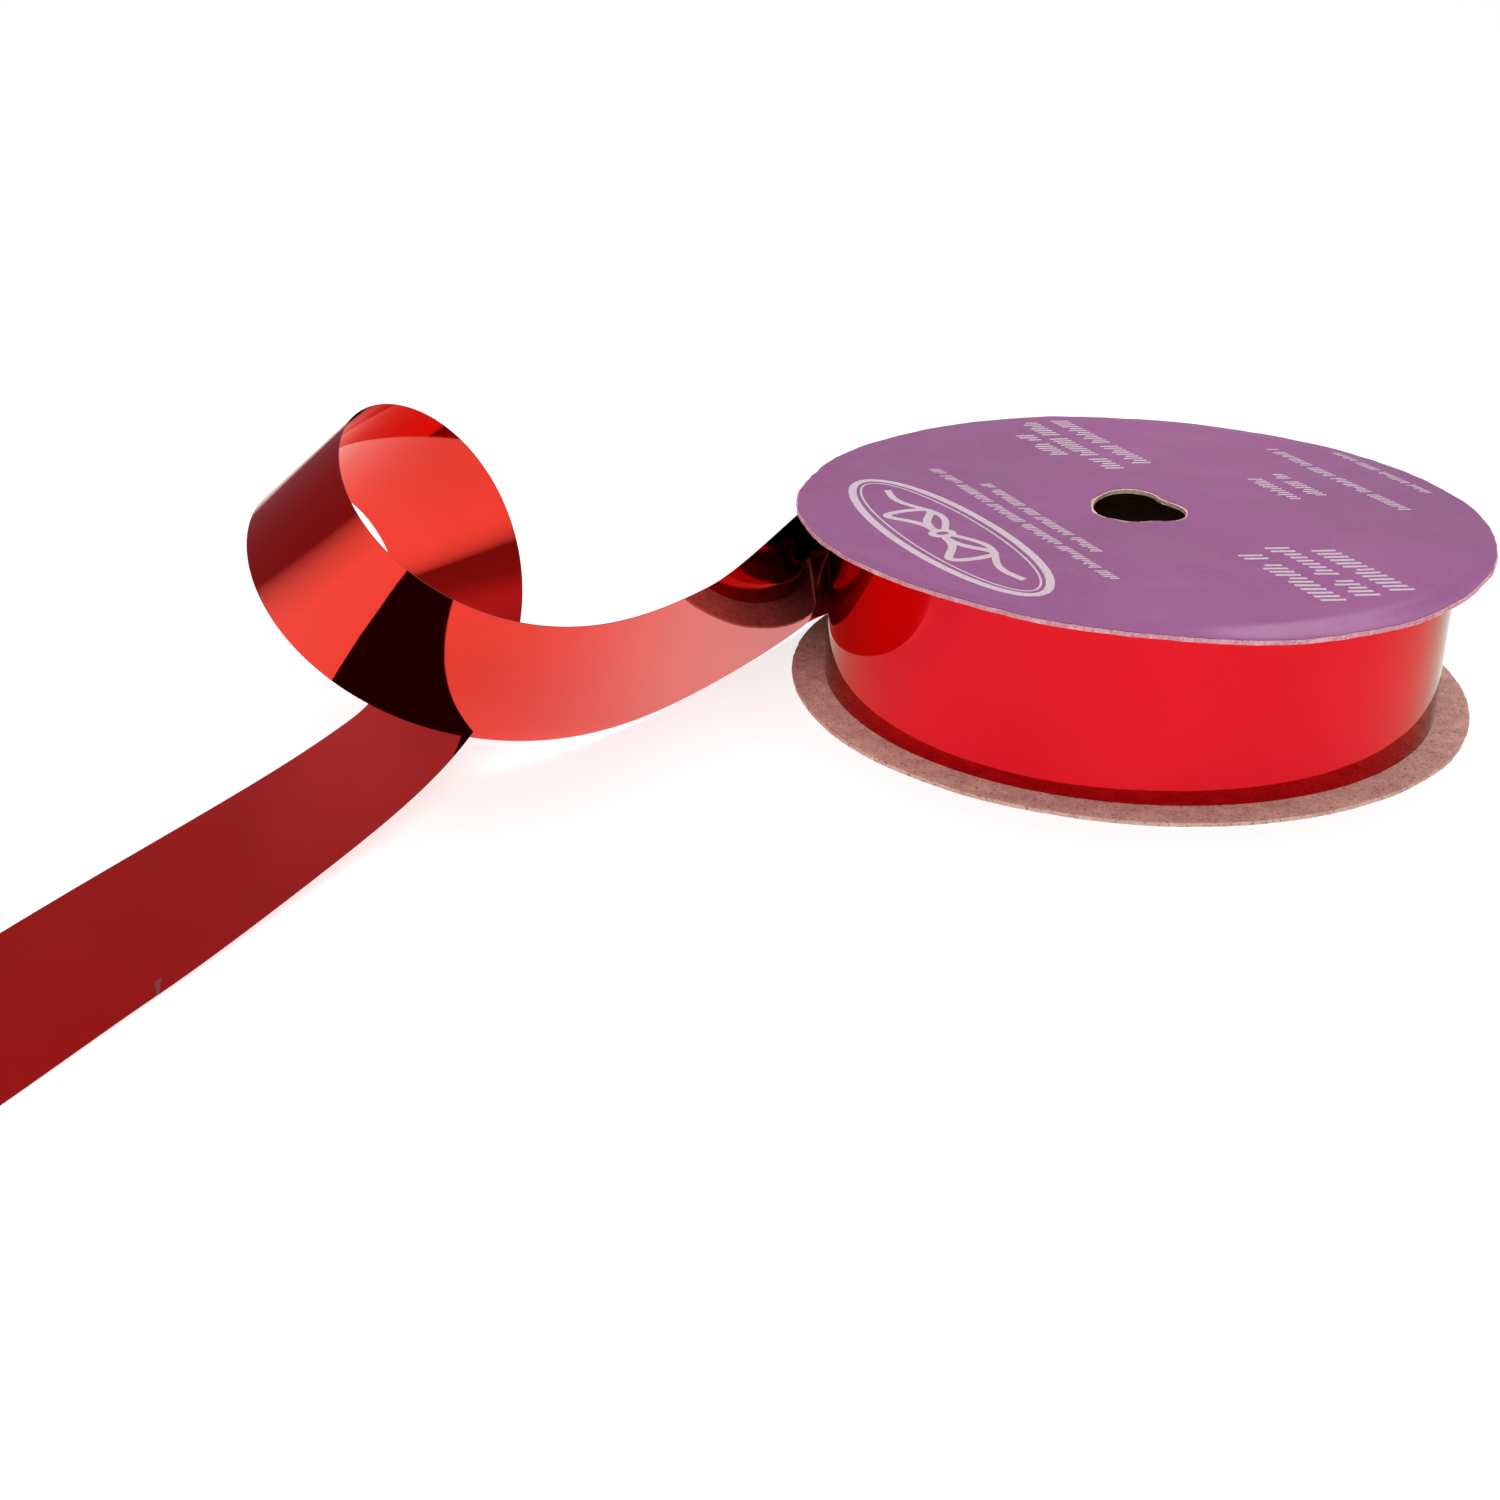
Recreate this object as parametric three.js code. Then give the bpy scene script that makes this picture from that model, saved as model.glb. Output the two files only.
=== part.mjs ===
// Gift-ribbon spool: two chipboard flanges on a short cardboard core, a paper label on the upper flange,
// a wound pack of metallised film ribbon, and the free end of the ribbon.
// Millimetres, +Z up. The spool lies on its lower flange, its axis on Z and its underside at z = 0.

import * as THREE from 'three';

// Driving dimensions
const FLANGE_DIAMETER = 127; // 5 in
const FLANGE_THICKNESS = 0.7;
const CENTRE_HOLE_DIAMETER = 17;
const LABEL_DIAMETER = 126.4;
const LABEL_THICKNESS = 0.12;
const RIBBON_WIDTH = 31.75; // 1 1/4 in
const RIBBON_THICKNESS = 0.1;
const PACK_DIAMETER = 114.3; // 4 1/2 in
const CORE_DIAMETER = 101.6; // 4 in
const CORE_PLY_THICKNESS = 1.4;
const GLUE_THICKNESS = 0.2;
const TAPE_THICKNESS = 0.1;
const TAPE_WIDTH = 19;
const TAPE_LENGTH = 40;
const SIDE_PLAY = 0.3; // spare height for the ribbon between the flanges
const NEST_GAP = 0.1; // between rings that nest

// The free ribbon is a flat strip that bends but doesn't stretch. Each row holds for one more BEND_SPACING
// along it: its curvature per metre, positive the way it was wound, and the slant of its bend lines,
// which is how far they lean along the strip for each unit that they run across it.
const TAIL_START_ANGLE = 2.28; // round the roll from +X, in radians
const TAIL_START_RADIUS = 57.3;
const TAIL_CENTRE_HEIGHT = 16.75;
const TAIL_LENGTH = 405;
const BEND_SPACING = 30;
const BENDS = [
  [4.7, 0.38],
  [20.4, -0.61],
  [-6.4, 1.6],
  [-3.7, 0.74],
  [-15.9, 0.37],
  [-28.2, 0.02],
  [-39.2, -0.19],
  [-45.4, -0.3],
  [-43.9, -0.04],
  [-26.1, 0.24],
  [-2.9, 1.22],
  [-2.6, 1.89],
  [1.4, 0.48],
  [-1.1, 0.15],
  [0, 0],
];

const FLANGE_SEGMENTS = 72;
const CORE_SEGMENTS = 48;
const TAPE_SEGMENTS = 8;
const TAIL_STEPS = 81;
const FINE_STEPS = 270; // the tail's path is followed in these smaller steps

const FLANGE_RADIUS = FLANGE_DIAMETER / 2;
const HOLE_RADIUS = CENTRE_HOLE_DIAMETER / 2;
const CORE_RADIUS = CORE_DIAMETER / 2;
const BAY_BOTTOM = FLANGE_THICKNESS;
const BAY_TOP = BAY_BOTTOM + RIBBON_WIDTH + SIDE_PLAY;
const LABEL_BOTTOM = BAY_TOP + FLANGE_THICKNESS;
const CORE_BOTTOM = BAY_BOTTOM + GLUE_THICKNESS;
const CORE_TOP = BAY_TOP - GLUE_THICKNESS;
const OUTER_PLY_INSIDE = CORE_RADIUS - CORE_PLY_THICKNESS;
const INNER_PLY_OUTSIDE = OUTER_PLY_INSIDE - NEST_GAP;
const INNER_PLY_INSIDE = INNER_PLY_OUTSIDE - CORE_PLY_THICKNESS;
const TAPE_INSIDE = CORE_RADIUS + NEST_GAP;
const TAPE_OUTSIDE = TAPE_INSIDE + TAPE_THICKNESS;
const PACK_INSIDE = TAPE_OUTSIDE + NEST_GAP;

const model = new THREE.Group();

function addPiece(name, geometry, colour, roughness, metalness = 0) {
  const material = new THREE.MeshStandardMaterial({ color: colour, roughness, metalness });
  const mesh = new THREE.Mesh(geometry, material);
  mesh.name = name;
  model.add(mesh);
}

// A square-edged ring round the Z axis.
function ring(inside, outside, bottom, top, segments) {
  const profile = [
    new THREE.Vector2(inside, bottom),
    new THREE.Vector2(outside, bottom),
    new THREE.Vector2(outside, top),
    new THREE.Vector2(inside, top),
    new THREE.Vector2(inside, bottom),
  ];
  return new THREE.LatheGeometry(profile, segments).rotateX(Math.PI / 2);
}

// A piece of a ring, centred on the angle given, in radians from +X.
function arcStrip(inside, outside, bottom, top, angle, centre) {
  const outline = new THREE.Shape();
  outline.absarc(0, 0, outside, centre - angle / 2, centre + angle / 2, false);
  outline.absarc(0, 0, inside, centre + angle / 2, centre - angle / 2, true);
  const settings = { depth: top - bottom, bevelEnabled: false, curveSegments: TAPE_SEGMENTS };
  return new THREE.ExtrudeGeometry(outline, settings).translate(0, 0, bottom);
}

// The value of one column of BENDS at a distance along the tail, as a smooth curve through the rows.
function bendAt(column, distance) {
  const place = distance / BEND_SPACING;
  const last = BENDS.length - 1;
  const row = Math.min(Math.floor(place), last - 1);
  const t = place - row;
  const before = BENDS[Math.max(row - 1, 0)][column];
  const start = BENDS[row][column];
  const end = BENDS[row + 1][column];
  const after = BENDS[Math.min(row + 2, last)][column];
  const linear = end - before;
  const square = 2 * before - 5 * start + 4 * end - after;
  const cube = 3 * start - before - 3 * end + after;
  return (2 * start + linear * t + square * t * t + cube * t * t * t) / 2;
}

// The centre line of the tail, with the strip's own frame carried along it: tangent, face normal (towards
// the roll's axis where it leaves the roll) and a vector along the bend line that reaches edge to edge
// when scaled by the width.
class TailPath extends THREE.Curve {
  constructor() {
    super();
    this.stations = [];
    const centre = new THREE.Vector3(
      TAIL_START_RADIUS * Math.cos(TAIL_START_ANGLE),
      TAIL_START_RADIUS * Math.sin(TAIL_START_ANGLE),
      TAIL_CENTRE_HEIGHT,
    );
    const tangent = new THREE.Vector3(-Math.sin(TAIL_START_ANGLE), Math.cos(TAIL_START_ANGLE), 0);
    const across = new THREE.Vector3(0, 0, 1);
    const step = TAIL_LENGTH / FINE_STEPS;
    this.addStation(centre, tangent, across, 0);
    for (let i = 1; i <= FINE_STEPS; i += 1) {
      const middle = (i - 0.5) * step;
      const curvature = bendAt(0, middle) / 1000;
      const axis = across.clone().addScaledVector(tangent, bendAt(1, middle));
      const turn = curvature * step * axis.length();
      axis.normalize();
      centre.addScaledVector(tangent.clone().applyAxisAngle(axis, turn / 2), step);
      tangent.applyAxisAngle(axis, turn);
      across.applyAxisAngle(axis, turn);
      this.addStation(centre, tangent, across, i * step);
    }
  }

  addStation(centre, tangent, across, distance) {
    this.stations.push({
      centre: centre.clone(),
      tangent: tangent.clone(),
      normal: across.clone().cross(tangent),
      bendLine: across.clone().addScaledVector(tangent, bendAt(1, distance)),
    });
  }

  station(t) {
    return this.stations[Math.round(t * FINE_STEPS)];
  }

  getPoint(t) {
    return this.station(t).centre.clone();
  }

  getSpacedPoints(divisions) {
    return Array.from({ length: divisions + 1 }, (_, i) => this.getPoint(i / divisions));
  }

  computeFrenetFrames(segments) {
    const picked = Array.from({ length: segments + 1 }, (_, i) => this.station(i / segments));
    return {
      tangents: picked.map((s) => s.tangent),
      normals: picked.map((s) => s.normal),
      binormals: picked.map((s) => s.bendLine),
    };
  }
}

function tail() {
  const halfThickness = RIBBON_THICKNESS / 2;
  const halfWidth = RIBBON_WIDTH / 2;
  const section = new THREE.Shape([
    new THREE.Vector2(-halfThickness, -halfWidth),
    new THREE.Vector2(halfThickness, -halfWidth),
    new THREE.Vector2(halfThickness, halfWidth),
    new THREE.Vector2(-halfThickness, halfWidth),
  ]);
  return new THREE.ExtrudeGeometry(section, { steps: TAIL_STEPS, extrudePath: new TailPath() });
}

// Flanges and label
const flange = (bottom) =>
  ring(HOLE_RADIUS, FLANGE_RADIUS, bottom, bottom + FLANGE_THICKNESS, FLANGE_SEGMENTS);
addPiece('bottom_flange', flange(0), 0x96806f, 0.9);
addPiece('top_flange', flange(BAY_TOP), 0xb7a093, 0.9);
addPiece(
  'top_label',
  ring(HOLE_RADIUS, LABEL_DIAMETER / 2, LABEL_BOTTOM, LABEL_BOTTOM + LABEL_THICKNESS, FLANGE_SEGMENTS),
  0x9a4f93,
  0.45,
);

// Core: two wound-paper plies, glued at each end to a flange
addPiece('core_inner_ply', ring(INNER_PLY_INSIDE, INNER_PLY_OUTSIDE, CORE_BOTTOM, CORE_TOP, CORE_SEGMENTS),
  0x8f7355, 0.95);
addPiece('core_outer_ply', ring(OUTER_PLY_INSIDE, CORE_RADIUS, CORE_BOTTOM, CORE_TOP, CORE_SEGMENTS),
  0x9c8466, 0.95);
addPiece('bottom_glue_ring', ring(INNER_PLY_INSIDE, CORE_RADIUS, BAY_BOTTOM, CORE_BOTTOM, CORE_SEGMENTS),
  0xe6dfc8, 0.4);
addPiece('top_glue_ring', ring(INNER_PLY_INSIDE, CORE_RADIUS, CORE_TOP, BAY_TOP, CORE_SEGMENTS),
  0xe6dfc8, 0.4);

// Ribbon: the tape that starts it, the wound turns and the free tail
const tapeBottom = (BAY_BOTTOM + BAY_TOP - TAPE_WIDTH) / 2;
addPiece('starter_tape',
  arcStrip(TAPE_INSIDE, TAPE_OUTSIDE, tapeBottom, tapeBottom + TAPE_WIDTH, TAPE_LENGTH / CORE_RADIUS, Math.PI),
  0xd9c9a0, 0.35);
addPiece('ribbon_pack', ring(PACK_INSIDE, PACK_DIAMETER / 2, BAY_BOTTOM, BAY_BOTTOM + RIBBON_WIDTH,
  FLANGE_SEGMENTS), 0xd01f24, 0.12, 0.9);
addPiece('ribbon_tail', tail(), 0xc41d22, 0.12, 0.9);

export default model;
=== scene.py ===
"""Looks of the gift-ribbon spool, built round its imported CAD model. Metres, +Z up, spool axis on Z."""

import math
import random

import bmesh
import bpy
from mathutils import Matrix, Vector, noise


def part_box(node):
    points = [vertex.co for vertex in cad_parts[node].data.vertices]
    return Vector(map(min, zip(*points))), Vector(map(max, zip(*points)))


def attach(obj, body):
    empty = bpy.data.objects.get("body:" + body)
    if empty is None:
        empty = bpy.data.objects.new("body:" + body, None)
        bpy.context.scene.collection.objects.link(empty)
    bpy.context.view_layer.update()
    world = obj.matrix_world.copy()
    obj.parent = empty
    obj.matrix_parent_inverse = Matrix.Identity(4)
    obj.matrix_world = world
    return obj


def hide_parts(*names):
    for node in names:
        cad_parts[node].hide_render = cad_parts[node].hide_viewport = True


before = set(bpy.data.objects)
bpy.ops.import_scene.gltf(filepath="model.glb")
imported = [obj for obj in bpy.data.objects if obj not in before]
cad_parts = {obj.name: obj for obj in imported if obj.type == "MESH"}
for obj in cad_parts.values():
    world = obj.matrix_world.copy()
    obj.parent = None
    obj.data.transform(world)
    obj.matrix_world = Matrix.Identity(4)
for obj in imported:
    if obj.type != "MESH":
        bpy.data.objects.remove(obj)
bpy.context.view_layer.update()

MM = 0.001
TURN = 2 * math.pi
rng = random.Random(7)

# ---------------------------------------------------------------- sizes taken from the CAD nodes


def ring_sizes(node):
    """Outer radius, lowest and highest z of a CAD ring round the Z axis."""
    low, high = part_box(node)
    return high.x, low.z, high.z


FLANGE_RADIUS, BOARD_BOTTOM, BOARD_TOP = ring_sizes("top_flange")
LABEL_BOTTOM, LABEL_TOP = ring_sizes("top_label")[1:]
BASE_BOTTOM, BASE_TOP = ring_sizes("bottom_flange")[1:]
ROLL_RADIUS, ROLL_BOTTOM, ROLL_TOP = ring_sizes("ribbon_pack")
OUTER_PLY_RADIUS, CORE_BOTTOM, CORE_TOP = ring_sizes("core_outer_ply")
INNER_PLY_RADIUS = ring_sizes("core_inner_ply")[0]
RIBBON_WIDTH = ROLL_TOP - ROLL_BOTTOM

HOLE_RADIUS = 8.5 * MM
RIBBON_THICKNESS = 0.1 * MM
PLY_THICKNESS = 1.4 * MM
NEST_GAP = 0.1 * MM
TAPE_THICKNESS = 0.1 * MM
ROLL_INSIDE = OUTER_PLY_RADIUS + 2 * NEST_GAP + TAPE_THICKNESS

# ---------------------------------------------------------------- camera and view

CAMERA_PLACE = Vector((4.23, -369.24, 151.53)) * MM
CAMERA_YAW = 0.2054
CAMERA_PITCH = -0.4342
CAMERA_ROLL = 0.0125
SENSOR_WIDTH = 36  # this and the focal length are in millimetres, as Blender wants them
FOCAL_LENGTH = 49.2
NEAREST_SEEN = 10 * MM


def add_camera():
    data = bpy.data.cameras.new("camera")
    data.sensor_width = SENSOR_WIDTH
    data.lens = FOCAL_LENGTH
    data.clip_start = NEAREST_SEEN
    camera = bpy.data.objects.new("camera", data)
    turn = Matrix.Rotation(CAMERA_YAW, 4, "Z")
    tip = Matrix.Rotation(math.pi / 2 + CAMERA_PITCH, 4, "X")
    roll = Matrix.Rotation(CAMERA_ROLL, 4, "Z")
    camera.matrix_world = Matrix.Translation(CAMERA_PLACE) @ turn @ tip @ roll
    bpy.context.scene.collection.objects.link(camera)
    bpy.context.scene.camera = camera


# ---------------------------------------------------------------- mesh helpers

SHARP_ANGLE = 35  # degrees; an edge that turns more than this isn't smoothed
BOARD_SHARP_ANGLE = 50
NOISE_SCALE = 1.6  # brings Blender's noise to about -1 to 1
SEED_STEP = 7.3


def finish_mesh(name, built, material, sharp_angle=SHARP_ANGLE):
    """An object from a bmesh, smooth except at its real corners."""
    bmesh.ops.recalc_face_normals(built, faces=built.faces)
    mesh = bpy.data.meshes.new(name)
    built.to_mesh(mesh)
    built.free()
    mesh.shade_smooth()
    mesh.set_sharp_from_angle(angle=math.radians(sharp_angle))
    mesh.materials.append(material)
    made = bpy.data.objects.new(name, mesh)
    bpy.context.scene.collection.objects.link(made)
    return made


def add_loft(built, sections, joined):
    """Skins a row of closed sections. joined links the last to the first; otherwise both ends are capped."""
    rows = [[built.verts.new(p) for p in section] for section in sections]
    pairs = list(zip(rows, rows[1:] + rows[:1])) if joined else list(zip(rows, rows[1:]))
    count = len(rows[0])
    for a, b in pairs:
        for i in range(count):
            j = (i + 1) % count
            built.faces.new((a[i], a[j], b[j], b[i]))
    if not joined:
        half = count // 2
        for row in (rows[0], rows[-1]):
            for i in range(half - 1):
                built.faces.new((row[i], row[i + 1], row[count - 2 - i], row[count - 1 - i]))


def loft(name, sections, joined, material, sharp_angle=SHARP_ANGLE):
    built = bmesh.new()
    add_loft(built, sections, joined)
    return finish_mesh(name, built, material, sharp_angle)


def polar(radius, angle, z):
    return Vector((radius * math.cos(angle), radius * math.sin(angle), z))


def ramp(value, start, end):
    """0 before start, 1 after end and a smooth step between."""
    t = min(max((value - start) / (end - start), 0), 1)
    return t * t * (3 - 2 * t)


def smooth_through(values, t):
    """A smooth curve between the middle two of four values, at t from 0 to 1."""
    before, start, end, after = values
    linear = end - before
    square = 2 * before - 5 * start + 4 * end - after
    cube = 3 * start - before - 3 * end + after
    return (2 * start + linear * t + square * t * t + cube * t * t * t) / 2


def ripple(angle, cycles, seed):
    """Smooth noise round a circle, about -1 to 1."""
    return noise.noise(polar(cycles / TURN, angle, seed * SEED_STEP)) * NOISE_SCALE


def kinks(angle, waves):
    """The sum of ripples round a circle, each given as (size, cycles, seed)."""
    return sum(size * ripple(angle, cycles, seed) for size, cycles, seed in waves)


def place_piece(piece, body, slot, *nodes):
    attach(piece, body)
    if nodes:
        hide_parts(*nodes)


# ---------------------------------------------------------------- materials

USUAL_NOISE = (0.3, 0.7)

# Each surface's darker and paler tone. The wound film's darker, deeper red is painted shade that dims the
# roll's reflections.
FILM_WOUND_PAINTED_SHADE = (0.63, 0.002, 0.008), (0.69, 0.005, 0.014)
FILM_SINGLE = (0.74, 0.018, 0.004), (0.81, 0.026, 0.007)
FILM_CUT_EDGE = (0.10, 0.006, 0.008), (0.20, 0.012, 0.014)
LABEL_PURPLE = (0.245, 0.038, 0.205), (0.315, 0.050, 0.260)
LABEL_GRAIN = (0.46, 0.20, 0.42)
LABEL_RUB = (0.42, 0.22, 0.38)
PRINT_PALE = (0.58, 0.47, 0.55), (0.70, 0.60, 0.67)
CORE_BROWN = (0.17, 0.105, 0.060), (0.30, 0.195, 0.115)
GLUE_CREAM = (0.62, 0.52, 0.33), (0.78, 0.70, 0.50)
TAPE_TAN = (0.60, 0.46, 0.24), (0.74, 0.62, 0.38)
FLOOR_GREY = (0.37, 0.37, 0.37), (0.39, 0.39, 0.39)

TOP_CHIPBOARD = {
    "dark": (0.52, 0.21, 0.26),
    "mid": (0.66, 0.30, 0.36),
    "pale": (0.88, 0.58, 0.62),
    "fleck": (0.36, 0.16, 0.17),
    "hole_tint": (0.66, 0.50, 0.38),
}
BOTTOM_CHIPBOARD = {
    "dark": (0.46, 0.275, 0.225),
    "mid": (0.64, 0.39, 0.32),
    "pale": (0.82, 0.56, 0.48),
    "fleck": (0.20, 0.12, 0.10),
    "hole_tint": (0.52, 0.39, 0.31),
}

# Distances from the spool's axis between which one look gives way to another; for the film, from its painted
# shade on and near the roll to its plain single red.
WOUND_SHADE_TO_SINGLE = (59 * MM, 85 * MM)
HOLE_TO_BOARD = (16 * MM, 40 * MM)


def set_stops(node, stops):
    """Gives a colour ramp its (place, (r, g, b)) stops."""
    elements = node.color_ramp.elements
    while len(elements) < len(stops):
        elements.new(0.5)
    for element, (position, colour) in zip(elements, stops):
        element.position = position
        element.color = (*colour, 1)


class Shader:
    """A material and the few node steps that these surfaces need."""

    def __init__(self, name):
        self.material = bpy.data.materials.new(name)
        self.material.use_nodes = True
        self.nodes = self.material.node_tree.nodes
        self.links = self.material.node_tree.links
        self.surface = self.nodes["Principled BSDF"]
        self.place = self.nodes.new("ShaderNodeTexCoord").outputs["Object"]

    def set(self, **values):
        for socket, value in values.items():
            self.surface.inputs[socket.replace("_", " ")].default_value = value

    def stretched(self, scale):
        node = self.nodes.new("ShaderNodeMapping")
        node.inputs["Scale"].default_value = scale
        self.links.new(self.place, node.inputs["Vector"])
        return node.outputs["Vector"]

    def noise(self, scale, detail=2.0, rough=0.5, vector=None, distortion=0.0):
        node = self.nodes.new("ShaderNodeTexNoise")
        node.inputs["Scale"].default_value = scale
        node.inputs["Detail"].default_value = detail
        node.inputs["Roughness"].default_value = rough
        node.inputs["Distortion"].default_value = distortion
        self.links.new(vector or self.place, node.inputs["Vector"])
        return node.outputs["Fac"]

    def spread(self, value, low, high, to_low=0.0, to_high=1.0):
        node = self.nodes.new("ShaderNodeMapRange")
        for socket, number in zip(("From Min", "From Max", "To Min", "To Max"), (low, high, to_low, to_high)):
            node.inputs[socket].default_value = number
        self.links.new(value, node.inputs["Value"])
        return node.outputs["Result"]

    def usual_spread(self, value, to_low, to_high):
        """Spreads the values that a noise texture mostly has."""
        return self.spread(value, *USUAL_NOISE, to_low, to_high)

    def colours(self, value, *stops):
        """A colour for each value, from (place, (r, g, b)) stops."""
        node = self.nodes.new("ShaderNodeValToRGB")
        set_stops(node, stops)
        self.links.new(value, node.inputs["Fac"])
        return node.outputs["Color"]

    def two_tone(self, value, dark, pale):
        """A colour between dark and pale for each value that a noise texture mostly has."""
        return self.colours(value, *zip(USUAL_NOISE, (dark, pale)))

    def mix(self, factor, a, b):
        node = self.nodes.new("ShaderNodeMix")
        node.data_type = "RGBA"
        for socket, value in ((node.inputs["Factor"], factor), (node.inputs["A"], a), (node.inputs["B"], b)):
            if isinstance(value, (int, float)):
                socket.default_value = value
            elif isinstance(value, tuple):
                socket.default_value = (*value, 1)
            else:
                self.links.new(value, socket)
        return node.outputs["Result"]

    def from_axis(self):
        """Distance from the spool's axis."""
        node = self.nodes.new("ShaderNodeVectorMath")
        node.operation = "LENGTH"
        self.links.new(self.stretched((1, 1, 0)), node.inputs[0])
        return node.outputs["Value"]

    def bump(self, height, strength, distance):
        node = self.nodes.new("ShaderNodeBump")
        node.inputs["Strength"].default_value = strength
        node.inputs["Distance"].default_value = distance
        self.links.new(height, node.inputs["Height"])
        if self.surface.inputs["Normal"].is_linked:
            self.links.new(self.surface.inputs["Normal"].links[0].from_socket, node.inputs["Normal"])
        self.links.new(node.outputs["Normal"], self.surface.inputs["Normal"])

    def feed(self, socket, value):
        self.links.new(value, self.surface.inputs[socket])


def film_material(name, coat, edge_on):
    """Mirror-like red metallised film under a clear coat: a warmer red where it hangs singly, and on the roll
    and near it a darker, deeper red that is painted shade, dimming the roll's reflections. edge_on tints it
    where it is seen nearly edge-on."""
    s = Shader(name)
    s.set(Metallic=1.0, Coat_Weight=coat, Coat_Roughness=0.03, Specular_Tint=(*edge_on, 1))
    cloud = s.noise(28, 3)
    wound = s.two_tone(cloud, *FILM_WOUND_PAINTED_SHADE)
    single = s.two_tone(cloud, *FILM_SINGLE)
    # Darker, deeper red within the first range of distances from the axis: painted shade on the roll and the
    # start of the free end.
    s.feed("Base Color", s.mix(s.spread(s.from_axis(), *WOUND_SHADE_TO_SINGLE), wound, single))
    s.feed("Roughness", s.usual_spread(s.noise(320, 3), 0.035, 0.065))
    s.bump(s.noise(60, 1), 0.25, 0.25 * MM)
    s.bump(s.noise(2400, 2), 0.08, 0.02 * MM)
    return s.material


def film_edge_material():
    """The cut edge of the film, which shows its dyed body and not its mirror."""
    s = Shader("film_cut_edge")
    grain = s.noise(900, 2)
    s.feed("Base Color", s.two_tone(grain, *FILM_CUT_EDGE))
    s.feed("Roughness", s.usual_spread(grain, 0.45, 0.6))
    return s.material


def label_material():
    """Purple printed paper under a thin varnish, with a fine grain and patches that are rubbed paler."""
    s = Shader("purple_label_paper")
    s.set(IOR=1.62)
    tone = s.colours(s.noise(22, 3), *zip((0.32, 0.68), LABEL_PURPLE))
    grain = s.noise(900, 2)
    tone = s.mix(s.spread(grain, 0.35, 0.7, 0.0, 0.10), tone, LABEL_GRAIN)
    rub = s.noise(48, 3, vector=s.stretched((1.0, 1.8, 1.0)))
    tone = s.mix(s.spread(rub, 0.5, 0.85, 0.0, 0.18), tone, LABEL_RUB)
    s.feed("Base Color", tone)
    s.feed("Roughness", s.usual_spread(s.noise(60, 2), 0.26, 0.36))
    s.bump(s.noise(420, 1), 0.06, 0.03 * MM)
    return s.material


def print_material():
    """The label's pale print, thin enough for the paper's grain to show."""
    s = Shader("pale_print")
    grain = s.noise(1600, 3, 0.6)
    s.feed("Base Color", s.two_tone(grain, *PRINT_PALE))
    s.feed("Roughness", s.usual_spread(grain, 0.38, 0.5))
    s.bump(grain, 0.15, 0.03 * MM)
    return s.material


def board_material(name, dark, mid, pale, fleck, hole_tint):
    """Recycled chipboard: mottled fibre with dark and pale flecks, rough, and another tint round the hole."""
    s = Shader(name)
    cloud = s.noise(260, 5, 0.65)
    tone = s.colours(cloud, (0.25, dark), (0.5, mid), (0.75, pale))
    tone = s.mix(s.spread(s.from_axis(), *HOLE_TO_BOARD, 1.0, 0.0), tone, hole_tint)
    fibre = s.noise(1300, 4, 0.7, s.stretched((1.0, 0.45, 1.0)), 0.6)
    tone = s.mix(s.spread(fibre, 0.48, 0.66, 0.0, 0.65), tone, pale)
    specks = s.noise(1900, 2)
    tone = s.mix(s.spread(specks, 0.57, 0.68, 0.0, 0.75), tone, fleck)
    s.feed("Base Color", tone)
    s.feed("Roughness", s.usual_spread(fibre, 0.78, 0.95))
    s.bump(fibre, 0.5, 0.08 * MM)
    return s.material


def core_material():
    """Spiral-wound tube paper, with the faint long fibres of kraft."""
    s = Shader("core_paper")
    long_fibre = s.noise(500, 4, 0.65, s.stretched((1.0, 1.0, 6.0)))
    s.feed("Base Color", s.two_tone(long_fibre, *CORE_BROWN))
    s.feed("Roughness", s.usual_spread(long_fibre, 0.8, 0.95))
    s.bump(long_fibre, 0.4, 0.05 * MM)
    return s.material


def glue_material():
    """Dried white glue, slightly see-through and with an uneven skin."""
    s = Shader("dried_glue")
    s.set(Subsurface_Weight=0.15, Subsurface_Radius=(0.002, 0.0015, 0.001), Subsurface_Scale=0.5)
    cloud = s.noise(260, 3)
    s.feed("Base Color", s.two_tone(cloud, *GLUE_CREAM))
    s.feed("Roughness", s.usual_spread(cloud, 0.3, 0.5))
    s.bump(s.noise(800, 2), 0.4, 0.06 * MM)
    return s.material


def tape_material():
    """Tan packing tape with fine crinkles across it."""
    s = Shader("starter_tape_film")
    crinkle = s.noise(300, 4, 0.6, s.stretched((1.0, 1.0, 0.3)))
    s.feed("Base Color", s.two_tone(crinkle, *TAPE_TAN))
    s.feed("Roughness", s.usual_spread(crinkle, 0.25, 0.4))
    s.bump(crinkle, 0.3, 0.04 * MM)
    return s.material


def floor_material():
    """White acrylic, lit a little from below, that fades out towards its left edge."""
    s = Shader("pale_floor")
    s.set(Emission_Color=(1, 1, 1, 1), Emission_Strength=FLOOR_GLOW)
    s.feed("Base Color", s.two_tone(s.noise(6, 2), *FLOOR_GREY))
    s.feed("Roughness", s.usual_spread(s.noise(40, 2), 0.6, 0.7))
    across = s.nodes.new("ShaderNodeSeparateXYZ")
    s.links.new(s.place, across.inputs[0])
    s.feed("Alpha", s.spread(across.outputs["X"], FLOOR_LEFT, FLOOR_FADE))
    return s.material


# ---------------------------------------------------------------- free ribbon

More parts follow.
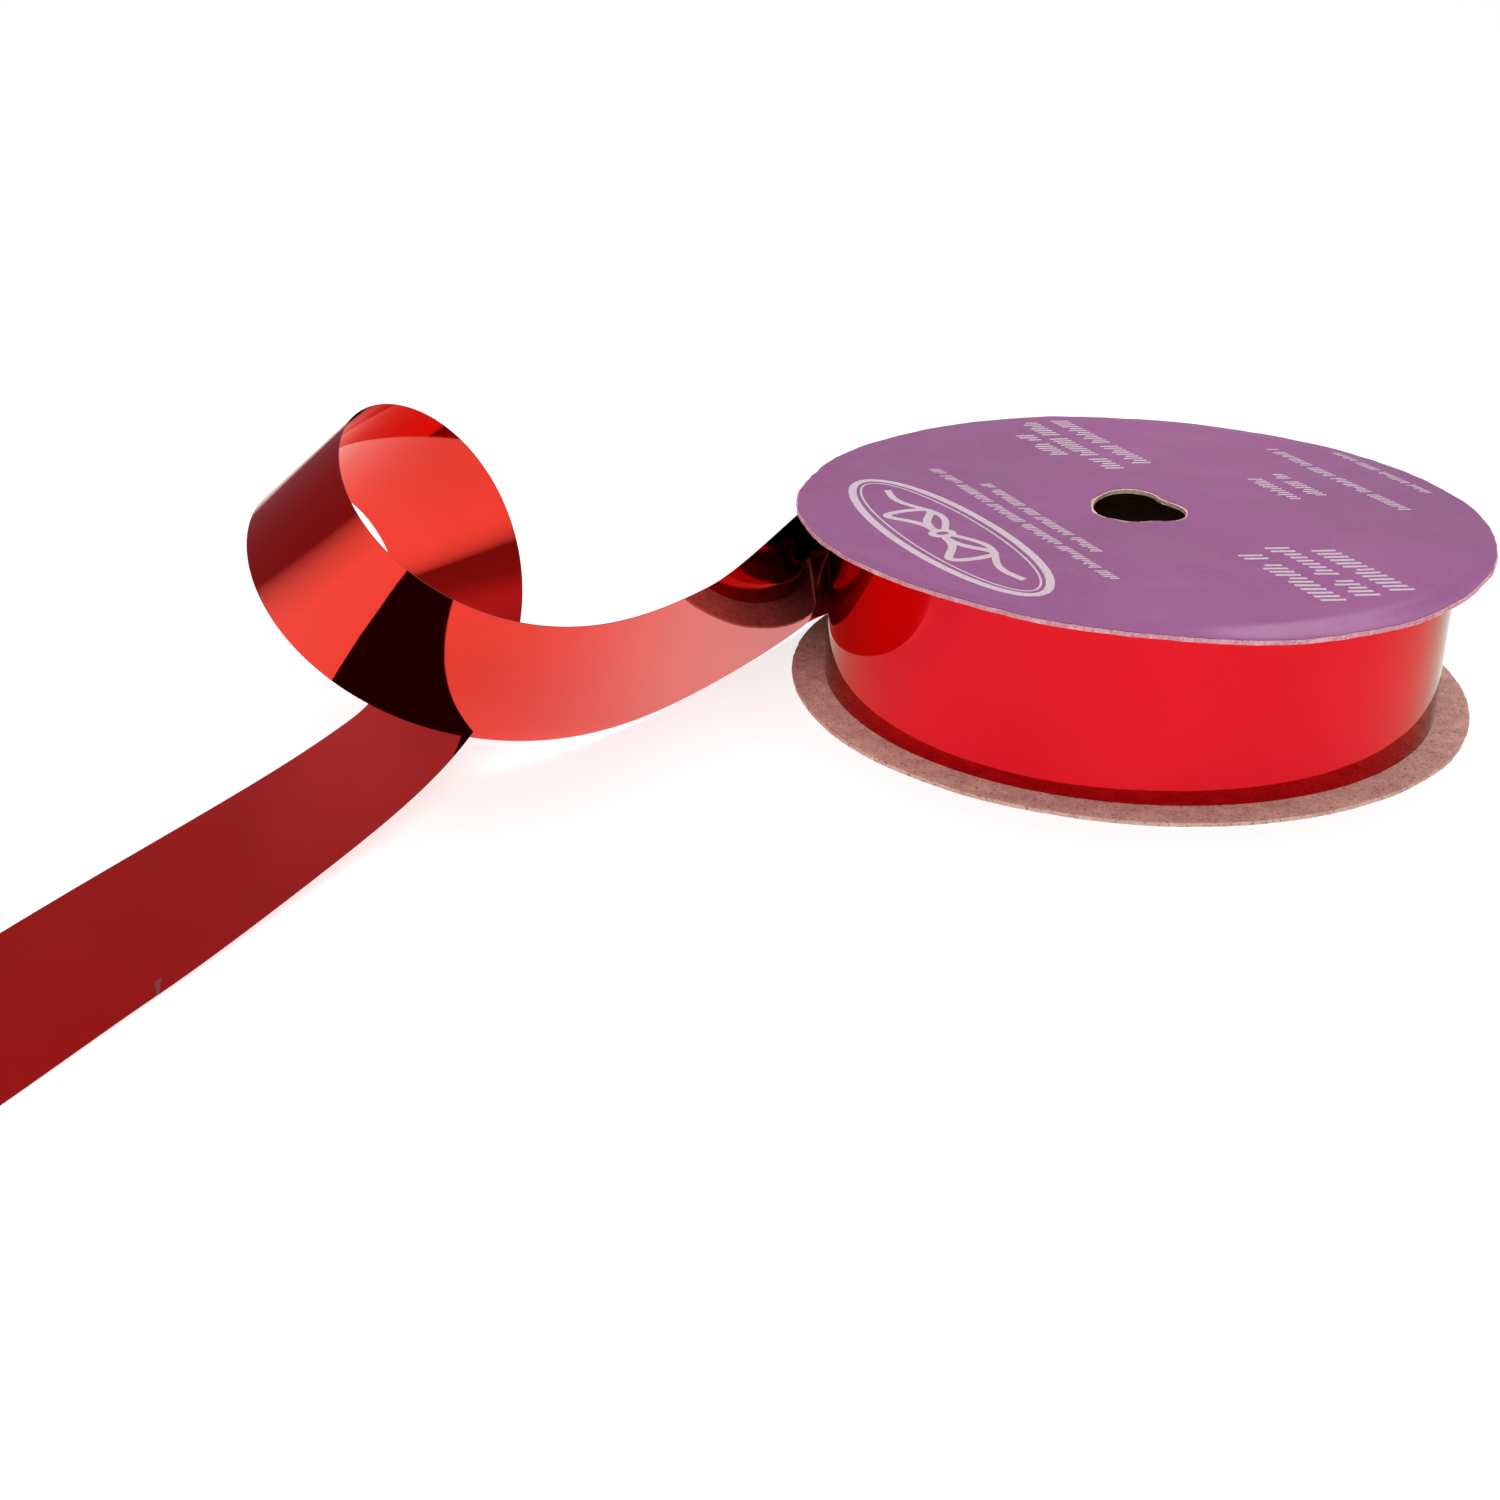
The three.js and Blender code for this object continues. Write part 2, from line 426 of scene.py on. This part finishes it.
# The free ribbon is a flat strip that bends but doesn't stretch. Each row holds for one more BEND_SPACING
# along it: its curvature per metre, positive the way it was wound, and the slant of its bend lines,
# which is how far they lean along the strip for each unit that they run across it.
TAIL_START_ANGLE = 2.28
TAIL_START_RADIUS = 57.3 * MM
TAIL_CENTRE_HEIGHT = 16.75 * MM
TAIL_LENGTH = 405 * MM
BEND_SPACING = 30 * MM
BENDS = [
    (4.7, 0.38),
    (20.4, -0.61),
    (-6.4, 1.6),
    (-3.7, 0.74),
    (-15.9, 0.37),
    (-28.2, 0.02),
    (-39.2, -0.19),
    (-45.4, -0.3),
    (-43.9, -0.04),
    (-26.1, 0.24),
    (-2.9, 1.22),
    (-2.6, 1.89),
    (1.4, 0.48),
    (-1.1, 0.15),
    (0, 0),
]
TAIL_STEPS = 540
TAIL_COLUMNS = 12
EDGE_FACE_AREA = 0.3 * MM * MM  # only the faces through the film's thickness are this small
EDGE_MATERIAL = 1
LEAD_IN = 24 * MM  # lies round the roll before the strip leaves it
LEAD_STEPS = 24
LEAD_DEPTH = 0.25 * MM  # how far its first edge is tucked under the outer turn


def bend_at(column, distance):
    """One column of BENDS at a distance along the strip, as a smooth curve through the rows."""
    place = distance / BEND_SPACING
    last = len(BENDS) - 1
    row = min(int(place), last - 1)
    rows = (BENDS[max(row - 1, 0)], BENDS[row], BENDS[row + 1], BENDS[min(row + 2, last)])
    return smooth_through([r[column] for r in rows], place - row)


def tail_stations():
    """(centre, face normal, bend line) along the strip; the bend line reaches edge to edge at full width."""
    centre = polar(TAIL_START_RADIUS, TAIL_START_ANGLE, TAIL_CENTRE_HEIGHT)
    tangent = Vector((-math.sin(TAIL_START_ANGLE), math.cos(TAIL_START_ANGLE), 0))
    across = Vector((0, 0, 1))
    step = TAIL_LENGTH / TAIL_STEPS
    found = [(centre.copy(), across.cross(tangent), across + bend_at(1, 0) * tangent)]
    for i in range(1, TAIL_STEPS + 1):
        middle = (i - 0.5) * step
        axis = across + bend_at(1, middle) * tangent
        turn = bend_at(0, middle) * step * axis.length
        centre = centre + step * (Matrix.Rotation(turn / 2, 3, axis) @ tangent)
        rotation = Matrix.Rotation(turn, 3, axis)
        tangent = rotation @ tangent
        across = rotation @ across
        found.append((centre.copy(), across.cross(tangent), across + bend_at(1, i * step) * tangent))
    return found


def lead_in_stations(slant):
    """The last of the wound turn, from under its own outer face to where the strip leaves the roll."""
    found = []
    for i in range(LEAD_STEPS):
        share = i / LEAD_STEPS
        back = (1 - share) * LEAD_IN
        angle = TAIL_START_ANGLE - back / TAIL_START_RADIUS
        radius = TAIL_START_RADIUS - LEAD_DEPTH * (1 - share) ** 2
        tangent = Vector((-math.sin(angle), math.cos(angle), 0))
        across = Vector((0, 0, 1))
        centre = polar(radius, angle, TAIL_CENTRE_HEIGHT)
        found.append((centre, across.cross(tangent), across + share * slant * tangent))
    return found


def add_tail(film, edge):
    """The free ribbon, with the lead-in before it."""
    sections = []
    for centre, normal, bend_line in lead_in_stations(bend_at(1, 0)) + tail_stations():
        normal = normal.normalized()
        faces = []
        for side in (-0.5, 0.5):
            row = []
            for column in range(TAIL_COLUMNS + 1):
                share = column / TAIL_COLUMNS - 0.5
                row.append(centre + bend_line * RIBBON_WIDTH * share + normal * RIBBON_THICKNESS * side)
            faces.append(row)
        sections.append(faces[0] + faces[1][::-1])
    tail = loft("ribbon_free_end", sections, False, film)
    tail.data.materials.append(edge)
    for face in tail.data.polygons:
        if face.area < EDGE_FACE_AREA:
            face.material_index = EDGE_MATERIAL
    place_piece(tail, "ribbon_end", "film", "ribbon_tail")


# ---------------------------------------------------------------- rings


def ring(name, profile, place, material, segments, sharp_angle=SHARP_ANGLE):
    """A closed ring. profile is a closed row of (across, up) pairs and place turns one into a point."""
    sections = []
    for i in range(segments):
        angle = TURN * i / segments
        sections.append([place(across, up, angle) for across, up in profile])
    return loft(name, sections, True, material, sharp_angle)


def box_profile(steps_across, steps_up):
    """Round a section from (0, 0) to (1, 1), with each side cut into steps."""
    bottom = [(i / steps_across, 0) for i in range(steps_across)]
    outside = [(1, i / steps_up) for i in range(steps_up)]
    top = [(1 - i / steps_across, 1) for i in range(steps_across)]
    inside = [(0, 1 - i / steps_up) for i in range(steps_up)]
    return bottom + outside + top + inside


# ---------------------------------------------------------------- flanges and label

BOARD_SEGMENTS = 420
BOARD_STEPS = 26
BOARD_LAYERS = 5
RIM_CROWDING = 1.6  # above 1 puts the finest radial steps near the rim, where the upper board bends

# The upper board's shallow dents lie between where it is stiff round its hole and where it is glued.
DENT = 0.28 * MM
DENT_SCALE = 45
DENTS_START = (10 * MM, 26 * MM)
DENTS_END = (44 * MM, 51 * MM)

# The lip round the hole tips up at the back and down at the front, and fades out.
LIP = 0.3 * MM
LIP_FADE = (9 * MM, 22 * MM)
RIM_WAVE = 0.12 * MM
RIM_WAVE_FADE = (58 * MM, 63 * MM)

# How unevenly each edge is cut or torn: its ripples round the circle, as (size, cycles, seed).
TOP_RIM_KINKS = ((0.24 * MM, 34, 1), (0.14 * MM, 120, 2))
BOTTOM_RIM_KINKS = ((0.14 * MM, 30, 9), (0.07 * MM, 150, 10))
BOTTOM_HOLE_KINKS = ((0.2 * MM, 8, 8),)
LABEL_HOLE_KINKS = ((0.2 * MM, 22, 5),)
LABEL_RIM_KINKS = ((0.06 * MM, 90, 6),)

# Each rim stands back from the CAD disc's, so that its ripples stay within it.
TOP_RIM_INSET = 0.28 * MM
BOTTOM_RIM_INSET = 0.2 * MM

# The paper stands back from the board's own edges.
LABEL_HOLE_GAP = 0.5 * MM
LABEL_RIM_GAP = 0.22 * MM

# How far the rim of the upper board has bent up, in millimetres at equal steps round from +X.
# The bend starts outside the ribbon, which has to pass under it.
RIM_START = 57.7 * MM
RIM_RISE = [-0.6, -0.5, -0.6, -0.4, -0.2, -0.4, -0.3, 0.7, 1.1, 0.0, -1.3, -1.3]

# The torn hole in the upper flange: its radius in millimetres at equal steps round from +X.
HOLE_OUTLINE = [8.6, 8.1, 7.3, 7.3, 9.4, 10.6, 10.4, 9.4, 8.7, 8.3, 8.3, 8.1, 7.2, 7.0, 6.4, 6.3, 7.7, 8.7]


def spread_out(inside, outside, across):
    """A radius from inside to outside, with the finest steps near the rim."""
    return outside - (outside - inside) * (1 - across) ** RIM_CROWDING


def round_circle(values, angle):
    """A smooth curve through values in millimetres at equal steps round from +X."""
    place = angle % TURN / TURN * len(values)
    row = int(place)
    four = [values[(row + shift) % len(values)] for shift in (-1, 0, 1, 2)]
    return smooth_through(four, place - row) * MM


def top_warp(x, y):
    """How far the upper board and its label stand off their flat places."""
    radius = math.hypot(x, y)
    angle = math.atan2(y, x)
    rim = round_circle(RIM_RISE, angle) * ramp(radius, RIM_START, FLANGE_RADIUS)
    free = ramp(radius, *DENTS_START) * (1 - ramp(radius, *DENTS_END))
    dents = DENT * free * noise.noise(Vector((x, y, 0.003)) * DENT_SCALE)
    lip = LIP * (y / HOLE_RADIUS) * (1 - ramp(radius, *LIP_FADE))
    waves = RIM_WAVE * ramp(radius, *RIM_WAVE_FADE) * ripple(angle, 26, 3)
    return rim + dents + lip + waves


def top_rim(angle, up):
    """Radius of the upper board's torn rim; up is 0 at its lower face and 1 at its upper."""
    shreds = 0.10 * MM * noise.noise(polar(60, angle, up * 1.7))
    return FLANGE_RADIUS - TOP_RIM_INSET + kinks(angle, TOP_RIM_KINKS) + shreds


def add_top_board(material):
    """The upper flange, with its bent and torn rim and its torn hole."""

    def place(across, up, angle):
        inside = round_circle(HOLE_OUTLINE, angle) + 0.12 * MM * noise.noise(polar(9, angle, up * 2.3))
        radius = spread_out(inside, top_rim(angle, up), across)
        x = radius * math.cos(angle)
        y = radius * math.sin(angle)
        return Vector((x, y, BOARD_BOTTOM + (BOARD_TOP - BOARD_BOTTOM) * up + top_warp(x, y)))

    profile = box_profile(BOARD_STEPS, BOARD_LAYERS)
    board = ring("top_board", profile, place, material, BOARD_SEGMENTS, BOARD_SHARP_ANGLE)
    place_piece(board, "spool", "top_board", "top_flange")


def add_label(material):
    """The paper on the upper flange. It stops short of the board's edges, which show as pale lines."""

    def place(across, up, angle):
        inside = round_circle(HOLE_OUTLINE, angle) + LABEL_HOLE_GAP + kinks(angle, LABEL_HOLE_KINKS)
        outside = top_rim(angle, 1) - LABEL_RIM_GAP - kinks(angle, LABEL_RIM_KINKS)
        radius = spread_out(inside, outside, across)
        x = radius * math.cos(angle)
        y = radius * math.sin(angle)
        return Vector((x, y, LABEL_BOTTOM + (LABEL_TOP - LABEL_BOTTOM) * up + top_warp(x, y)))

    profile = box_profile(BOARD_STEPS, 1)
    label = ring("label_sheet", profile, place, material, BOARD_SEGMENTS, BOARD_SHARP_ANGLE)
    place_piece(label, "spool", "label_paper", "top_label")


def add_bottom_board(material):
    """The lower flange, which lies flat and is less worn than the upper one."""

    def place(across, up, angle):
        hole_fibres = 0.1 * MM * noise.noise(polar(9, angle, up * 2))
        inside = HOLE_RADIUS + kinks(angle, BOTTOM_HOLE_KINKS) + hole_fibres
        shreds = 0.08 * MM * noise.noise(polar(60, angle, 3 + up * 1.7))
        outside = FLANGE_RADIUS - BOTTOM_RIM_INSET + kinks(angle, BOTTOM_RIM_KINKS) + shreds
        radius = inside + (outside - inside) * across
        return polar(radius, angle, BASE_BOTTOM + (BASE_TOP - BASE_BOTTOM) * up)

    profile = box_profile(BOARD_STEPS, BOARD_LAYERS)
    board = ring("bottom_board", profile, place, material, BOARD_SEGMENTS, BOARD_SHARP_ANGLE)
    place_piece(board, "spool", "bottom_board", "bottom_flange")


# ---------------------------------------------------------------- label print

PRINT_TURN = math.radians(124.4)  # the way that the lines read, round from +X
INK_HEIGHT = 0.03 * MM
STROKE_STEP = 1.5 * MM

# The ticks that stand for small print; lengths are shares of the line's height.
TICKS_IN_GROUP = (5, 13)
TICK_HEIGHTS = (1, 1, 0.7)
TICK_SLANT = 0.3
TICK_WEIGHT = 0.2
TICK_PITCH = 0.42
GROUP_GAP = 0.5


def label_point(u, v, height):
    """A point over the label: u along the printed lines and v up the page, in metres."""
    x = u * math.cos(PRINT_TURN) - v * math.sin(PRINT_TURN)
    y = u * math.sin(PRINT_TURN) + v * math.cos(PRINT_TURN)
    return Vector((x, y, LABEL_TOP + top_warp(x, y) + height))


def add_stroke(built, points, width):
    """An inked line of even width through (u, v) points in millimetres."""
    closed = points[0] == points[-1]
    dense = [Vector(points[0])]
    for a, b in zip(points, points[1:]):
        start, end = Vector(a), Vector(b)
        parts = max(1, math.ceil((end - start).length * MM / STROKE_STEP))
        dense += [start.lerp(end, i / parts) for i in range(1, parts + 1)]
    if closed:
        dense = dense[:-1]
    sections = []
    count = len(dense)
    for i, point in enumerate(dense):
        before = dense[(i - 1) % count] if closed or i else dense[i]
        after = dense[(i + 1) % count] if closed or i < count - 1 else dense[i]
        along = (after - before).normalized()
        side = Vector((-along.y, along.x)) * width / 2
        left, right = (point + side) * MM, (point - side) * MM
        sections.append([
            label_point(left.x, left.y, -INK_HEIGHT),
            label_point(right.x, right.y, -INK_HEIGHT),
            label_point(right.x, right.y, INK_HEIGHT),
            label_point(left.x, left.y, INK_HEIGHT),
        ])
    add_loft(built, sections, closed)


def add_filler_line(built, u_start, u_end, v, height):
    """A line of slanted ticks in groups, as dense as small print but with nothing to read."""
    u = u_start
    left_in_group = rng.randint(*TICKS_IN_GROUP)
    while u < u_end - height * TICK_SLANT:
        tall = height * rng.choice(TICK_HEIGHTS)
        add_stroke(built, [(u, v), (u + tall * TICK_SLANT, v + tall)], height * TICK_WEIGHT)
        u += height * TICK_PITCH
        left_in_group -= 1
        if left_in_group == 0:
            left_in_group = rng.randint(*TICKS_IN_GROUP)
            u += height * GROUP_GAP


# The badge, in millimetres on the label: its middle (u, v), and the size and stroke of each part.
BADGE_U, BADGE_V = 0, 40
OVAL_HALF_LENGTH = 33
OVAL_HALF_HEIGHT = 9.8
OVAL_RINGS = ((0, 1.5), (1.9, 0.4))  # inset and stroke
OVAL_STEPS = 96
LOOP_START = 1.4
LOOP_RISE = 1.2
LOOP_LENGTH = 12.5
LOOP_HEIGHT = 5.6
LOOP_FULLNESS = 0.7  # below 1 makes a loop rounder at its far end
LOOP_STROKE = 1.5
LOOP_STEPS = 40
STREAMER_START = 1.2
STREAMER_DROP = 0.6
STREAMER_LENGTH = 25
STREAMER_SAG = 2.2
STREAMER_SWAY = 2.1
STREAMER_WAVES = 6.6  # radians of sway along its length
STREAMER_STROKE = 1.3
STREAMER_STEPS = 32
KNOT_RISE = 0.6
KNOT_HALF_LENGTH = 1.5
KNOT_HALF_HEIGHT = 1.9
KNOT_STROKE = 1.4
KNOT_STEPS = 20


def add_oval(built, rise, half_length, half_height, count, width):
    """An oval line round the badge's middle, or rise above it."""
    points = []
    for i in range(count):
        turn = TURN * i / count
        points.append((BADGE_U + half_length * math.cos(turn), BADGE_V + rise + half_height * math.sin(turn)))
    add_stroke(built, points + points[:1], width)


def loop_point(side, share):
    """A point on one loop of the bow; share goes from 0 to 1 out from the knot and back."""
    turn = math.pi * share
    reach = LOOP_LENGTH * math.sin(turn) ** LOOP_FULLNESS
    height = LOOP_HEIGHT * math.sin(2 * turn) * math.sin(turn)
    return (BADGE_U + side * (LOOP_START + reach), BADGE_V + LOOP_RISE + height)


def streamer_point(side, share):
    """A point on one flowing end of the bow; share is 0 at the knot and 1 at the end."""
    sag = STREAMER_SAG * math.sin(math.pi * share)
    sway = STREAMER_SWAY * math.sin(share * STREAMER_WAVES) * share ** 0.3
    return (BADGE_U + side * (STREAMER_START + STREAMER_LENGTH * share), BADGE_V - STREAMER_DROP - sag - sway)


def add_badge(built):
    """A plain oval with a tied bow in it, whose two ends flow out to its sides."""
    for inset, width in OVAL_RINGS:
        add_oval(built, 0, OVAL_HALF_LENGTH - inset, OVAL_HALF_HEIGHT - inset, OVAL_STEPS, width)
    for side in (-1, 1):
        loop = [loop_point(side, i / LOOP_STEPS) for i in range(LOOP_STEPS)]
        add_stroke(built, loop + loop[:1], LOOP_STROKE)
        streamer = [streamer_point(side, i / STREAMER_STEPS) for i in range(STREAMER_STEPS + 1)]
        add_stroke(built, streamer, STREAMER_STROKE)
    add_oval(built, KNOT_RISE, KNOT_HALF_LENGTH, KNOT_HALF_HEIGHT, KNOT_STEPS, KNOT_STROKE)


# Lines of print: left end, right end, foot and height, in millimetres on the label.
FILLER_LINES = [
    (-31, 36, 23.2, 2.2),
    (-18, 24, 18.6, 2.2),
    (-53, -27, -6.4, 4.2),
    (-53, -26, -13.2, 4.2),
    (-53, -29, -20.2, 4.2),
    (35, 51, -5.6, 3.6),
    (23, 58, -11.0, 3.6),
    (24, 58, -17.8, 3.6),
    (-5, 9, -32.4, 2.9),
    (-5, 10, -38.2, 2.9),
    (-18, 24, -47.4, 2.4),
    (-11, 18, -58.0, 1.9),
]


def add_label_print(material):
    """All of the label's raised marks, as one piece."""
    built = bmesh.new()
    for line in FILLER_LINES:
        add_filler_line(built, *line)
    add_badge(built)
    marks = finish_mesh("label_print", built, material)
    place_piece(marks, "spool", "label_paper")


# ---------------------------------------------------------------- roll of ribbon

ROLL_SEGMENTS = 480
TURNS_SHOWN = 20
EDGE_RISE = 0.12 * MM  # how far a turn's edge may stand inside the ribbon's full width
FACE_STEPS = 12
FACE_WAVE = 0.035 * MM
FACE_INSET = 0.04 * MM

# The outer turn leans in towards its top, most on the side at LOOSE_SIDE, in radians from +X.
LEAN_IN = 0.5 * MM
LOOSE_SIDE = 3.8


def add_roll(film):
    """The wound turns: a shallow wave on the outer face and turn edges of slightly different heights."""
    depth = ROLL_RADIUS - ROLL_INSIDE
    steps = [i / TURNS_SHOWN for i in range(TURNS_SHOWN + 1)]
    edge_rise = [rng.uniform(0, EDGE_RISE) for _ in steps]
    profile = []
    for i in range(TURNS_SHOWN):
        profile += [(steps[i], 0, edge_rise[i]), (steps[i + 1], 0, edge_rise[i])]
    profile += [(1, k / FACE_STEPS, 0) for k in range(1, FACE_STEPS)]
    for i in reversed(range(TURNS_SHOWN)):
        profile += [(steps[i + 1], 1, -edge_rise[i]), (steps[i], 1, -edge_rise[i])]
    sections = []
    for s in range(ROLL_SEGMENTS):
        angle = TURN * s / ROLL_SEGMENTS
        section = []
        for across, up, rise in profile:
            z = ROLL_BOTTOM + (ROLL_TOP - ROLL_BOTTOM) * up + rise
            wave = 0
            if across == 1:
                wave = FACE_WAVE * noise.noise(polar(3.2, angle, up * 0.9))
                lean = max(math.cos(angle - LOOSE_SIDE), 0)
                wave -= LEAN_IN * lean * ramp(up, -0.1, 0.3)
            section.append(polar(ROLL_INSIDE + (depth - FACE_INSET) * across + wave, angle, z))
        sections.append(section)
    roll = loft("ribbon_roll", sections, True, film)
    place_piece(roll, "spool", "film", "ribbon_pack")


# ---------------------------------------------------------------- core

SEAM_PITCH = 46 * MM
SEAM_DEPTH = 0.18 * MM
SEAM_HALF_WIDTH = 0.9 * MM
TUBE_SEGMENTS = 240
TUBE_STEPS = 64
GLUE_SEGMENTS = 360
GLUE_SWELL = 0.25 * MM
GLUE_INSET = 0.15 * MM


def add_tube(name, outside, groove_outside, node, material):
    """A paper tube with the spiral joint of its winding."""
    inside = outside - PLY_THICKNESS

    def place(across, up, angle):
        z = CORE_BOTTOM + (CORE_TOP - CORE_BOTTOM) * up
        along = (angle / TURN * SEAM_PITCH + z) % SEAM_PITCH
        distance = min(along, SEAM_PITCH - along)
        groove = SEAM_DEPTH * (1 - ramp(distance, 0, SEAM_HALF_WIDTH))
        radius = inside + (outside - inside) * across
        if 0 < up < 1 and (across == 1) == groove_outside:
            radius += -groove if groove_outside else groove
        return polar(radius, angle, z)

    tube = ring(name, box_profile(2, TUBE_STEPS), place, material, TUBE_SEGMENTS)
    place_piece(tube, "spool", "core_board", node)


def add_glue(name, node, upper, material):
    """A bead of glue with uneven edges, pressed flat between a tube end and its board."""
    low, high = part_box(node)
    inside = INNER_PLY_RADIUS - PLY_THICKNESS
    seed = 21 if upper else 14

    def place(across, up, angle):
        inner = inside + 0.35 * MM * ripple(angle, 50, seed) - GLUE_SWELL * math.sin(math.pi * up)
        outer = OUTER_PLY_RADIUS - GLUE_INSET + 0.12 * MM * ripple(angle, 60, seed + 1)
        return polar(inner + (outer - inner) * across, angle, low.z + (high.z - low.z) * up)

    bead = ring(name, box_profile(4, 3), place, material, GLUE_SEGMENTS)
    place_piece(bead, "spool", "glue", node)


TAPE_LENGTH = 40 * MM
TAPE_STEPS = 32
TAPE_TEETH = 14
TOOTH_DEPTH = 0.6 * MM


def add_starter_tape(material):
    """A short strip with the toothed ends that a dispenser leaves."""
    low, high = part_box("starter_tape")
    inside = OUTER_PLY_RADIUS + NEST_GAP
    half_angle = TAPE_LENGTH / 2 / OUTER_PLY_RADIUS
    rows = TAPE_TEETH * 2
    sections = []
    for i in range(TAPE_STEPS + 1):
        share = i / TAPE_STEPS
        lower = []
        upper = []
        for row in range(rows + 1):
            reach = half_angle - TOOTH_DEPTH / OUTER_PLY_RADIUS * (row % 2)
            angle = math.pi - reach + 2 * reach * share
            z = low.z + (high.z - low.z) * row / rows
            lower.append(polar(inside, angle, z))
            upper.append(polar(inside + TAPE_THICKNESS, angle, z))
        sections.append(lower + upper[::-1])
    tape = loft("starter_tape_strip", sections, False, material)
    place_piece(tape, "spool", "tape", "starter_tape")


# ---------------------------------------------------------------- stage and light

FLOOR_GLOW = 0.75
FLOOR_LEFT, FLOOR_RIGHT = -0.42, 0.9
FLOOR_FADE = -0.20  # where the floor is solid, coming from its left edge
FLOOR_FRONT, FLOOR_BACK = -1.2, 1.6

# The room that reflections show: its tint along X, its brightness by height (the Z of a direction), and how
# it darkens towards the unlit ceiling above and behind the camera.
ROOM_TINTS = ((-0.35, (0.38, 0.12, 0.15)), (-0.18, (0.40, 0.40, 0.40)))
ROOM_LEVELS = ((0.0, 0.6), (0.12, 0.7), (0.27, 1.4), (0.42, 0.95))
DARK_CORNER = (0, -0.743, 0.669)
CORNER_LEVELS = ((0.5, 1.0), (0.72, 0.05))


def add_floor():
    built = bmesh.new()
    corners = [(FLOOR_LEFT, FLOOR_FRONT), (FLOOR_RIGHT, FLOOR_FRONT), (FLOOR_RIGHT, FLOOR_BACK),
               (FLOOR_LEFT, FLOOR_BACK)]
    built.faces.new([built.verts.new((x, y, 0)) for x, y in corners])
    floor = finish_mesh("floor", built, floor_material())


def add_area_light(name, place, size, power):
    """A white rectangular light that faces the spool's foot."""
    data = bpy.data.lights.new(name, "AREA")
    data.shape = "RECTANGLE"
    data.size, data.size_y = size
    data.energy = power
    light = bpy.data.objects.new(name, data)
    light.location = place
    light.rotation_euler = (-Vector(place)).to_track_quat("-Z", "Y").to_euler()
    bpy.context.scene.collection.objects.link(light)


def greys(stops):
    return [(place, (level,) * 3) for place, level in stops]


def add_surroundings():
    """A white backdrop for the camera, and for reflections a dim room that is warm on the left."""
    world = bpy.data.worlds.new("studio")
    bpy.context.scene.world = world
    world.use_nodes = True
    nodes, links = world.node_tree.nodes, world.node_tree.links
    direction = nodes.new("ShaderNodeTexCoord").outputs["Generated"]
    split = nodes.new("ShaderNodeSeparateXYZ")
    links.new(direction, split.inputs[0])
    towards_corner = nodes.new("ShaderNodeVectorMath")
    towards_corner.operation = "DOT_PRODUCT"
    towards_corner.inputs[1].default_value = DARK_CORNER
    links.new(direction, towards_corner.inputs[0])

    def shade(along, stops):
        """A colour for each value from -1 to 1, from (value, colour) stops."""
        spread = nodes.new("ShaderNodeMapRange")
        spread.inputs["From Min"].default_value = -1
        spread.inputs["From Max"].default_value = 1
        links.new(along, spread.inputs["Value"])
        ramp_node = nodes.new("ShaderNodeValToRGB")
        set_stops(ramp_node, [((place + 1) / 2, colour) for place, colour in stops])
        links.new(spread.outputs["Result"], ramp_node.inputs["Fac"])
        return ramp_node.outputs["Color"]

    room = shade(split.outputs["X"], ROOM_TINTS)
    level = shade(split.outputs["Z"], greys(ROOM_LEVELS))
    corner = shade(towards_corner.outputs["Value"], greys(CORNER_LEVELS))
    for part in (level, corner):
        product = nodes.new("ShaderNodeMix")
        product.data_type = "RGBA"
        product.blend_type = "MULTIPLY"
        product.inputs["Factor"].default_value = 1
        links.new(room, product.inputs["A"])
        links.new(part, product.inputs["B"])
        room = product.outputs["Result"]
    links.new(room, nodes["Background"].inputs["Color"])
    backdrop = nodes.new("ShaderNodeBackground")
    backdrop.inputs["Color"].default_value = (1, 1, 1, 1)
    chooser = nodes.new("ShaderNodeMixShader")
    links.new(nodes.new("ShaderNodeLightPath").outputs["Is Camera Ray"], chooser.inputs["Fac"])
    links.new(nodes["Background"].outputs["Background"], chooser.inputs[1])
    links.new(backdrop.outputs["Background"], chooser.inputs[2])
    links.new(chooser.outputs["Shader"], nodes["World Output"].inputs["Surface"])


# ---------------------------------------------------------------- build

add_camera()
add_tail(film_material("red_film_single", coat=0.45, edge_on=(1, 1, 0.95)), film_edge_material())
# The roll's copy of the film has a darker base and a duller, greyer edge_on tint: painted shade that dims its
# reflections.
add_roll(film_material("red_film_wound_painted_shade", coat=0.2, edge_on=(0.6, 0.7, 0.6)))
add_top_board(board_material("top_chipboard", **TOP_CHIPBOARD))
add_bottom_board(board_material("bottom_chipboard", **BOTTOM_CHIPBOARD))
add_label(label_material())
add_label_print(print_material())
paper = core_material()
add_tube("core_inner_tube", INNER_PLY_RADIUS, False, "core_inner_ply", paper)
add_tube("core_outer_tube", OUTER_PLY_RADIUS, True, "core_outer_ply", paper)
glue = glue_material()
add_glue("glue_bead_bottom", "bottom_glue_ring", False, glue)
add_glue("glue_bead_top", "top_glue_ring", True, glue)
add_starter_tape(tape_material())
add_floor()
add_surroundings()
add_area_light("overhead", place=(-0.1, 0.55, 1.6), size=(2.0, 2.0), power=23)
add_area_light("front", place=(0.1, -1.25, 1.0), size=(1.4, 0.9), power=13)
bpy.context.scene.view_settings.view_transform = "Standard"
